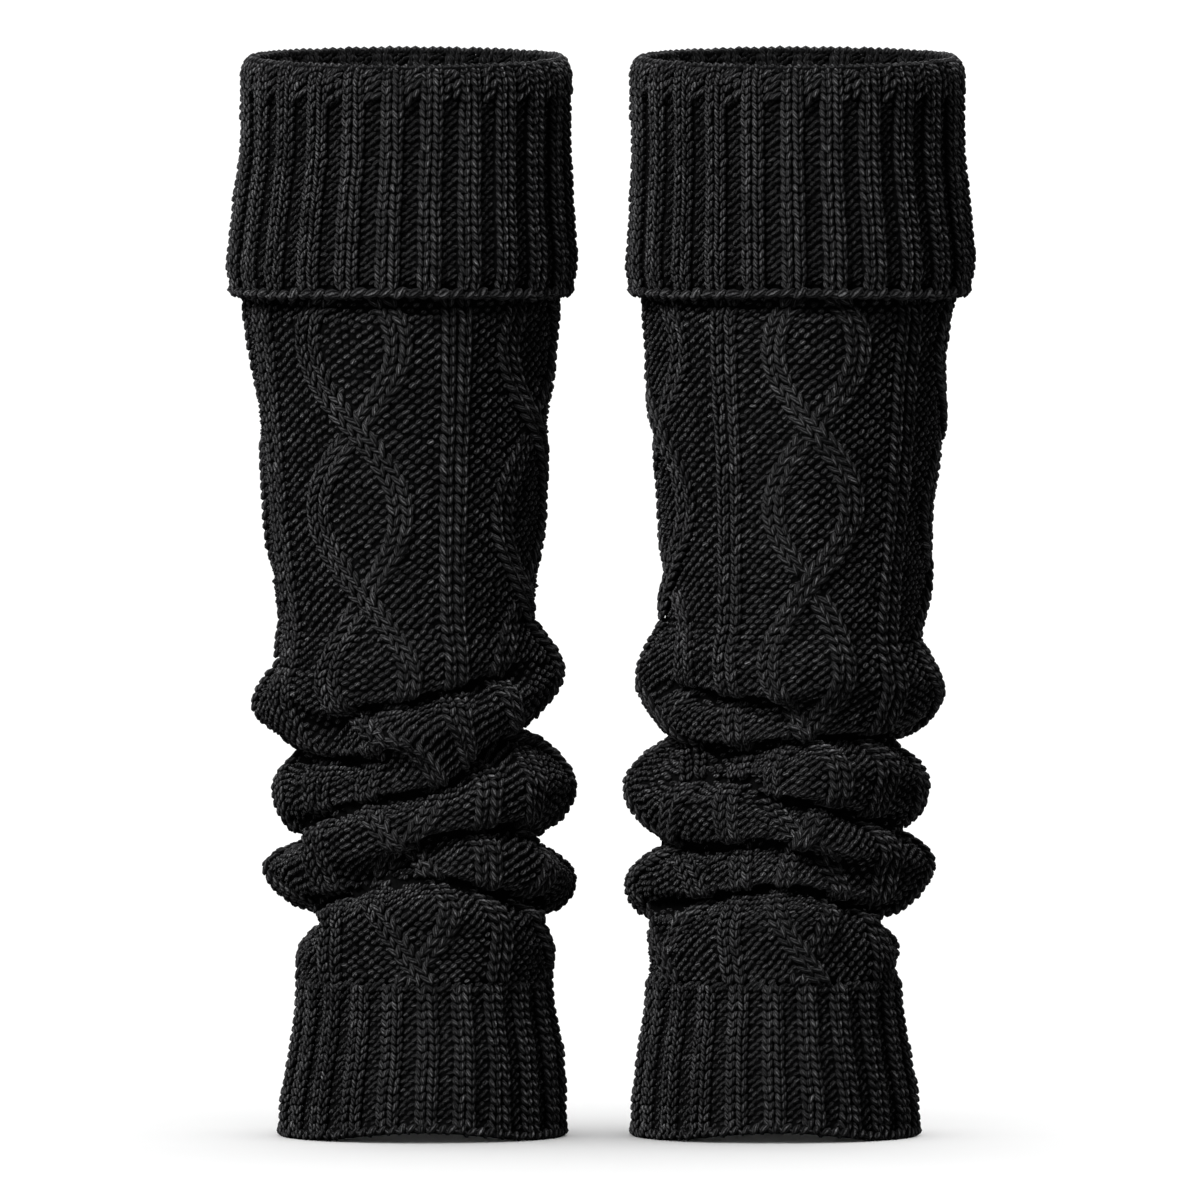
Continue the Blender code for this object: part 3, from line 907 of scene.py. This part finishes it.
def lay_purl_ground(stitches, leg, ribs, cables, top):
    """Purl bumps, two to a row, wherever no rib and no strand of a cable lies."""
    fine_rows = np.arange(0, 2 * top) * 0.5 + 0.25
    wale, row = np.meshgrid(np.arange(WALES, dtype=float), fine_rows)
    wale = wale + 0.5 * (np.arange(len(fine_rows)) % 2)[:, None]
    wale, row = wale.ravel(), row.ravel()
    keep = np.ones(len(wale), bool)
    for middle in ribs:
        keep &= apart(wale, middle) > RIB_CLEAR * RIB_WALE
    reach = swing(leg, row)[0]
    for strand in (-1.0, 1.0):
        shown = strand_state(leg, strand, row)[1]
        for middle in cables:
            keep &= (apart(wale, middle + strand * reach) > STRAND_CLEAR * STRAND_WALE) | ~shown
    wale, row = wale[keep], row[keep]
    stitches.lay(wale_turn(leg, wale, row), row, BODY_BUMP, -PURL_DEPTH, lean=GRAIN_TILT,
                 jitter=PURL_JITTER)


def body_stitches(leg, cloth, look):
    """The cables and upright ribs of plain stitches, and the purl ground between them."""
    plain = Stitches(cloth, yarn_grain(*PLAIN_GRAIN), SEED + 1)
    purl = Stitches(cloth, yarn_grain(*PURL_GRAIN), SEED + 2)
    top = cloth.rows - 2
    rows = np.arange(0, top) + 0.5
    cables = [column.wale for column in leg.columns if column.kind == "cable"]
    ribs = [column.wale for column in leg.columns if column.kind == "rib"]
    for middle in ribs:
        for side in (-0.5, 0.5):
            wale = middle + side * RIB_WALE
            lay_leaves(plain, leg, wale, rows, RIB_WALE, RIB_LEAF, -RIB_DEPTH)
    offset = swing(leg, rows)[0]
    ahead, behind = swing(leg, rows + 0.5)[0], swing(leg, rows - 0.5)[0]
    near_crossing = crossing_share(leg, rows) * STRAND_RISE
    above_hem = smooth_step(rows / 5.0)
    for middle in cables:
        for strand in (-1.0, 1.0):
            on_top, shown = strand_state(leg, strand, rows)
            lift = -CABLE_DEPTH + np.where(on_top, above_hem, -1.0) * near_crossing
            drift = (wale_turn(leg, middle + strand * ahead, rows)
                     - wale_turn(leg, middle + strand * behind, rows))
            for side in (-0.5, 0.5):
                wale = middle + strand * offset + side * STRAND_WALE
                lay_leaves(plain, leg, wale[shown], rows[shown], STRAND_WALE, CABLE_LEAF,
                           lift[shown], drift[shown])
    lay_purl_ground(purl, leg, ribs, cables, top)
    # copies of one yarn with a little less and a little more painted light
    cable_yarn = yarn_material(leg.name + " cable wool", look, 0.92)
    purl_yarn = yarn_material(leg.name + " purl wool", look, 1.05)
    return [plain.piece(leg.name + "_body_cables", cable_yarn),
            purl.piece(leg.name + "_body_purl", purl_yarn)]


def rib_shape(ribbing, turn, start):
    """1 on the plain ribs of two by two ribbing and 0 in the valleys, by turn."""
    pitch = 360.0 / ribbing.count
    away = np.abs(np.mod(turn - start + 0.5 * pitch, pitch) - 0.5 * pitch) / pitch
    return 1.0 - smooth_step((away - 0.18) / 0.09)


def lay_ribbing(plain, purl, ribbing, start, rows, depth, shade):
    """Two by two ribbing: four leaves side by side on a rib, three bumps in a valley."""
    pitch = 360.0 / ribbing.count
    middle = start + pitch * np.arange(ribbing.count)[:, None]
    for place, way, fall in RIB_LEAVES:
        # leaves that fall away at a rib's sides get a quarter less painted highlight: painted
        # shade
        dimmed = shade * (1.0 - 0.25 * (fall > 0.0))
        plain.lay(middle + place * RIB_SPREAD * pitch, rows, ribbing.leaf, -LEAF_DEPTH - fall,
                  lean=way * LEAF_TILT, tuck=0.55 * MM, row_size=ribbing.row, jitter=1.2,
                  shade=dimmed)
    for place, late, lean in VALLEY_BUMPS:
        purl.lay(middle + (0.5 + place) * pitch, rows + late, ribbing.bump,
                 -VALLEY_DEPTH - depth, lean=lean, jitter=1.7, shade=shade)


def edge_chain(stitches, links, row, size, lift, leans):
    """A chain of thick links along an edge, leaning by turns one way and the other."""
    turn = 360.0 / links * np.arange(links)
    lean = np.where(np.arange(links) % 2 == 0, *leans)
    stitches.lay(turn, row, size, lift, lean=lean, jitter=1.6)
    # the lower links, tucked under the upper ones, are dimmed by painted shade
    under = Size(0.8 * size.length, 0.9 * size.width, size.thick)
    stitches.lay(turn + 180.0 / links, row - 0.25, under, lift - 0.9 * MM, lean=180.0 - lean,
                 jitter=1.6, shade=0.7)


def cuff_stitches(leg, cloth, look):
    """The cuff's ribbing, over the fold and some way down the inside, and its lower edge."""
    plain = Stitches(cloth, yarn_grain(*PLAIN_GRAIN), SEED + 3)
    purl = Stitches(cloth, yarn_grain(*PURL_GRAIN), SEED + 4)
    beads = Stitches(cloth, yarn_grain(*BEAD_GRAIN), SEED + 7)
    crest = cloth.outside_rows + 0.5 * cloth.crown_rows
    over = cloth.outside_rows + cloth.crown_rows
    rows = np.concatenate((np.arange(1.6, crest + 0.1, 1.0),
                           np.arange(crest + 1.0, over + CUFF_INSIDE_ROWS, 1.0)))
    near_fold = smooth_step((rows - cloth.outside_rows + 3.0) / 4.0)
    inside = smooth_step((rows - over) / 3.0)
    depth = (2.9 - 2.6 * near_fold + 0.7 * inside) * MM
    # painted shade on the stitches inside the cuff
    shade = np.where(rows > crest, INSIDE_SHADE, 1.0)
    lay_ribbing(plain, purl, CUFF_RIBBING, leg.cuff_turn, rows, depth, shade)
    edge_chain(plain, 3 * CUFF_RIBBING.count, 0.7, CUFF_LINK, -1.0 * MM, (58.0, 80.0))
    rim = np.arange(cloth.outside_rows - 1.5, crest - 0.6, 1.2)
    pitch = 360.0 / CUFF_RIBBING.count
    valley = leg.cuff_turn + pitch * (0.5 + np.arange(CUFF_RIBBING.count)[:, None])
    for place, late, lean in ((-0.1, 0.0, 36.0), (0.1, 0.6, 44.0)):
        plain.lay(valley + place * pitch, rim + late, RIM_LEAF, -1.5 * MM, lean=lean,
                  tuck=0.3 * MM, jitter=2.5)
    turn = 360.0 / RIM_BEADS * np.arange(RIM_BEADS)
    # the rim's beads, with their painted highlights a little dimmed
    beads.lay(turn, crest + 0.15, RIM_BEAD, -1.5 * MM, lean=8.0, jitter=0.8, shade=0.85)
    yarn = yarn_material(leg.name + " cuff wool", look, 1.08)
    # the valleys' copy of the yarn, much darker: painted shade
    painted_shade_yarn = yarn_material(leg.name + " cuff purl wool", look, 0.46)
    return [plain.piece(leg.name + "_cuff_ribs", yarn),
            purl.piece(leg.name + "_cuff_purl", painted_shade_yarn),
            beads.piece(leg.name + "_cuff_rim", yarn)]


def hem_stitches(leg, cloth, look):
    """The hem's ribbing and its thick cast-on edge."""
    plain = Stitches(cloth, yarn_grain(*PLAIN_GRAIN), SEED + 5)
    purl = Stitches(cloth, yarn_grain(*PURL_GRAIN), SEED + 6)
    rows = np.arange(1.4, cloth.rows - 0.4, 1.0)
    depth = (2.5 - 1.6 * smooth_step((rows - cloth.rows + 3.0) / 3.0)) * MM
    lay_ribbing(plain, purl, HEM_RIBBING, leg.hem_turn, rows, depth, 1.0)
    seam = 360.0 / WALES * np.arange(WALES)
    for below, shift in ((0.1, 0.0), (0.55, 180.0 / WALES)):
        purl.lay(seam + shift, cloth.rows - below, SEAM_BUMP, -2.2 * MM, lean=GRAIN_TILT,
                 jitter=PURL_JITTER)
    edge_chain(plain, 4 * HEM_RIBBING.count, 0.62, HEM_LINK, -1.2 * MM, (30.0, 52.0))
    yarn = yarn_material(leg.name + " hem wool", look, 1.0)
    # the valleys' copy of the yarn, darker: painted shade
    painted_shade_yarn = yarn_material(leg.name + " hem purl wool", look, 0.62)
    return [plain.piece(leg.name + "_hem_ribs", yarn),
            purl.piece(leg.name + "_hem_purl", painted_shade_yarn)]


# ---- Settings ----

COLOUR = {"subtype": "COLOR", "size": 3, "min": 0.0, "max": 1.0}


class LEGWARMERS_PG_yarn(bpy.types.PropertyGroup):
    dark: bpy.props.FloatVectorProperty(
        name="Dark", description="Colour of the yarn between its plies",
        default=(0.0006, 0.0006, 0.00065), **COLOUR)
    # Light: the colour of the yarn's painted highlights
    light: bpy.props.FloatVectorProperty(
        name="Light", description="Colour of the crown of each ply",
        default=(0.062, 0.062, 0.0635), **COLOUR)
    sheen: bpy.props.FloatProperty(
        name="Sheen", description="Weight of the wool's soft sheen", subtype="FACTOR",
        min=0.0, max=1.0, default=0.02)
    sheen_colour: bpy.props.FloatVectorProperty(
        name="Sheen Colour", description="Colour of the sheen",
        default=(0.8, 0.8, 0.82), **COLOUR)
    roughness: bpy.props.FloatProperty(
        name="Roughness", description="Dullness of the yarn", subtype="FACTOR",
        min=0.0, max=1.0, default=0.62)


class LEGWARMERS_PG_studio(bpy.types.PropertyGroup):
    floor_colour: bpy.props.FloatVectorProperty(
        name="Floor", description="Colour of the floor",
        default=(0.97, 0.97, 0.97), **COLOUR)
    key_power: bpy.props.FloatProperty(
        name="Key Light", description="Power of the large light on the left", unit="POWER",
        min=0.0, default=370.0)
    back_power: bpy.props.FloatProperty(
        name="Back Light", description="Power of the light behind the legs", unit="POWER",
        min=0.0, default=260.0)
    sky: bpy.props.FloatProperty(
        name="Surroundings", description="Brightness of the white surroundings",
        min=0.0, default=1.2)
    lens: bpy.props.FloatProperty(
        name="Lens", description="Focal length of the camera in millimetres",
        min=50.0, default=1400.0)
    elevation: bpy.props.FloatProperty(
        name="Elevation", description="How far the camera looks down", subtype="ANGLE",
        default=math.radians(3.05))


# ---- Operators ----

Lining = namedtuple("Lining", "turns rows inset")    # the plain cloth: sides, rows, depth


class Knitting:
    """What the knitting operators share: each says how its part is knitted and lined."""

    def execute(self, context):
        look = context.scene.legwarmers_yarn
        material = painted_shade_backing(self.part + " backing", look)
        for leg in LEGS:
            name = leg.name + "_" + self.part
            cloth, made, lining = self.knit(leg, look)
            shell = plain_cloth(name + "_cloth", cloth, material, *lining)
            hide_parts(name)
            cloth.girth()
            cloth.length()
        return {"FINISHED"}


class LEGWARMERS_OT_cuffs(Knitting, bpy.types.Operator):
    """Knit the two folded cuffs"""
    bl_idname = "legwarmers.cuffs"
    bl_label = "Cuffs"
    part, slot, held, below = "cuff", "rib_knit", "folded", "body"

    def knit(self, leg, look):
        cloth = cuff_cloth(leg)

        def inset(turn, row):
            rib = rib_shape(CUFF_RIBBING, turn, leg.cuff_turn)
            over = smooth_step((row - cloth.outside_rows + 2.0) / 5.0)
            joined = smooth_step((row - cloth.rows + 4.0) / 4.0)
            return (5.0 - 2.2 * over - (2.6 - 1.3 * over) * rib - 6.2 * joined) * MM

        lining = Lining(144, np.linspace(0.0, cloth.rows, 50), inset)
        return cloth, cuff_stitches(leg, cloth, look), lining


class LEGWARMERS_OT_bodies(Knitting, bpy.types.Operator):
    """Knit the two cabled bodies with their folds"""
    bl_idname = "legwarmers.bodies"
    bl_label = "Bodies"
    part, slot, held, below = "body", "cable_knit", "draped", "hem"

    def knit(self, leg, look):
        cloth = body_cloth(leg)

        def inset(turn, row):
            rise = RIB_UNDER + OVER_UNDER * crossing_share(leg, row)
            return GROUND_DEPTH - raised(leg, turn, row) * rise

        rows = np.concatenate((np.linspace(0.0, FOLD_ROWS + 2, 84),
                               np.linspace(FOLD_ROWS + 3, cloth.rows, 24)))
        return cloth, body_stitches(leg, cloth, look), Lining(128, rows, inset)


class LEGWARMERS_OT_hems(Knitting, bpy.types.Operator):
    """Knit the two ribbed hems"""
    bl_idname = "legwarmers.hems"
    bl_label = "Hems"
    part, slot, held, below = "hem", "rib_knit", "laid", "floor"

    def knit(self, leg, look):
        cloth = hem_cloth(leg)

        def inset(turn, row):
            rib = rib_shape(HEM_RIBBING, turn, leg.hem_turn)
            rib *= 1.0 - smooth_step((row - cloth.rows + 2.5) / 2.0)
            edge = smooth_step((1.6 - row) / 1.6)
            return (4.2 - 1.9 * rib - (2.6 - 1.9 * rib) * edge) * MM

        lining = Lining(126, np.linspace(0.0, cloth.rows, 20), inset)
        return cloth, hem_stitches(leg, cloth, look), lining


class LEGWARMERS_OT_stage(bpy.types.Operator):
    """Set the floor, the light and the camera"""
    bl_idname = "legwarmers.stage"
    bl_label = "Stage"

    def execute(self, context):
        studio = context.scene.legwarmers_studio
        make_floor(studio)
        make_light(context.scene, studio)
        make_camera(context.scene, studio)
        return {"FINISHED"}


def make_floor(studio):
    """A wide floor of white paper."""
    form = bmesh.new()
    bmesh.ops.create_grid(form, x_segments=1, y_segments=1, size=30.0)
    mesh = bpy.data.meshes.new("floor")
    form.to_mesh(mesh)
    form.free()
    material, tree, shader = new_material("white paper")
    grain = noise(tree, object_place(tree), 40.0, 2.0)
    paler = opaque([min(1.0, part * 1.01) for part in studio.floor_colour])
    colour = mix_colours(tree, grain, opaque(studio.floor_colour), paler)
    feed(tree, shader, {"Base Color": colour, "Roughness": 0.9, "Specular IOR Level": 0.1})
    mesh.materials.append(material)
    floor = bpy.data.objects.new("floor", mesh)
    bpy.context.collection.objects.link(floor)


def area_light(name, place, target, size, power):
    light = bpy.data.lights.new(name, "AREA")
    light.shape = "DISK"
    light.size = size
    light.energy = power
    thing = bpy.data.objects.new(name, light)
    thing.location = place
    thing.rotation_euler = (Vector(target) - Vector(place)).to_track_quat("-Z", "Y").to_euler()
    bpy.context.collection.objects.link(thing)
    return thing


def make_light(scene, studio):
    """White surroundings, a large soft key at the upper left and a weaker one behind."""
    world = bpy.data.worlds.new("studio")
    world.use_nodes = True
    ground = world.node_tree.nodes["Background"]
    feed(world.node_tree, ground, {"Color": (1.0, 1.0, 1.0, 1.0), "Strength": studio.sky})
    scene.world = world
    spared = bpy.data.collections.new("lit by the surroundings only")
    spared.objects.link(bpy.data.objects["floor"])
    spared.collection_objects[0].light_linking.link_state = "EXCLUDE"
    middle = (CAD_LOW + CAD_HIGH) / 2
    for light in (area_light("key", KEY_PLACE, middle, 1.2, studio.key_power),
                  area_light("back", BACK_PLACE, middle, 0.8, studio.back_power)):
        light.light_linking.receiver_collection = spared
    scene.view_settings.view_transform = "Standard"


def make_camera(scene, studio):
    """A long lens, level with the legs and looking a little down on them."""
    camera = bpy.data.cameras.new("camera")
    camera.lens = studio.lens
    camera.sensor_width = 36.0
    distance = FRAME_WIDTH * studio.lens / camera.sensor_width
    camera.clip_end = 4.0 * distance
    back = Vector((0.0, -math.cos(studio.elevation), math.sin(studio.elevation)))
    thing = bpy.data.objects.new("camera", camera)
    thing.location = Vector((0.0, 0.0, LOOK_HEIGHT)) + back * distance
    thing.rotation_euler = (-back).to_track_quat("-Z", "Y").to_euler()
    bpy.context.collection.objects.link(thing)
    scene.camera = thing


class LEGWARMERS_PT_panel(bpy.types.Panel):
    """Lists the making of the leg warmers, in order"""
    bl_idname = "LEGWARMERS_PT_panel"
    bl_label = "Leg Warmers"
    bl_space_type = "VIEW_3D"
    bl_region_type = "UI"
    bl_category = "Leg Warmers"

    def draw(self, context):
        layout = self.layout
        for group in (context.scene.legwarmers_yarn, context.scene.legwarmers_studio):
            box = layout.box()
            for name in group.bl_rna.properties.keys():
                if name not in ("rna_type", "name"):
                    box.prop(group, name)
        for operator in OPERATORS:
            layout.operator(operator.bl_idname)


OPERATORS = (LEGWARMERS_OT_cuffs, LEGWARMERS_OT_bodies, LEGWARMERS_OT_hems,
             LEGWARMERS_OT_stage)
CLASSES = (LEGWARMERS_PG_yarn, LEGWARMERS_PG_studio) + OPERATORS + (LEGWARMERS_PT_panel,)


def register():
    for item in CLASSES:
        bpy.utils.register_class(item)
    bpy.types.Scene.legwarmers_yarn = bpy.props.PointerProperty(type=LEGWARMERS_PG_yarn)
    bpy.types.Scene.legwarmers_studio = bpy.props.PointerProperty(type=LEGWARMERS_PG_studio)


def unregister():
    del bpy.types.Scene.legwarmers_studio
    del bpy.types.Scene.legwarmers_yarn
    for item in reversed(CLASSES):
        bpy.utils.unregister_class(item)


def main():
    register()
    bpy.ops.legwarmers.stage()
    bpy.ops.legwarmers.cuffs()
    bpy.ops.legwarmers.bodies()
    bpy.ops.legwarmers.hems()


if __name__ == "__main__":
    main()
